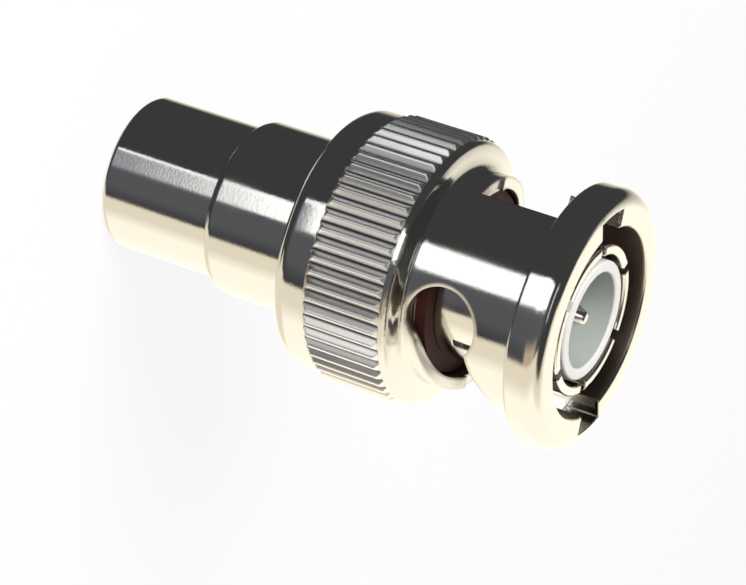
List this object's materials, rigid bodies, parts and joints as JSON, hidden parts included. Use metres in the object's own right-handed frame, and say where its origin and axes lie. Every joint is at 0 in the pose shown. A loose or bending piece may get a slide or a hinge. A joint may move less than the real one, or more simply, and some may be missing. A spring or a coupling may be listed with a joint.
{
  "type": "bnc plug to phono jack adapter",
  "caption": "Coaxial adapter with a knurled, sprung, turning bayonet coupling sleeve at one end and a phono jack tube at the other.",
  "frame": {"origin": "centre of the phono tube's rear end face, on which the adapter stands", "axes": "+Z along the connector's axis, out of the bayonet mouth; the visible locking hole lies 62 degrees clockwise from +X seen from the mouth"},
  "size_m": [0.0144, 0.0144, 0.0273],
  "materials": {
    "nickel_plate": "polished nickel plating on turned brass",
    "contact_plate": "satin nickel plating on spring brass",
    "spring_steel": "bright spring steel",
    "red_silicone": "matte dark red silicone",
    "white_insulator": "waxy white moulded plastic"
  },
  "bodies": {
    "connector": {"main_body": "nickel_plate", "wave_washer": "spring_steel", "outer_contact": "contact_plate", "sealing_gasket": "red_silicone", "front_insulator": "white_insulator", "centre_pin": "contact_plate", "rear_insulator": "white_insulator", "socket_contact": "contact_plate"},
    "thrust": {"thrust_washer": "spring_steel"},
    "coupling": {"coupling_sleeve": "nickel_plate", "retaining_ring": "spring_steel"}
  },
  "joints": [
    {"name": "coupling_slide", "type": "slide", "parent": "connector", "child": "thrust", "axis": [0, 0, 1], "range_m": [0, 0.001], "stiffness_N_per_m": 300, "springref_m": -0.004, "deforming": ["wave_washer"]},
    {"name": "coupling_turn", "type": "hinge", "parent": "thrust", "child": "coupling", "pos_m": [0, 0, 0.0137], "axis": [0, 0, 1], "continuous": true}
  ]
}
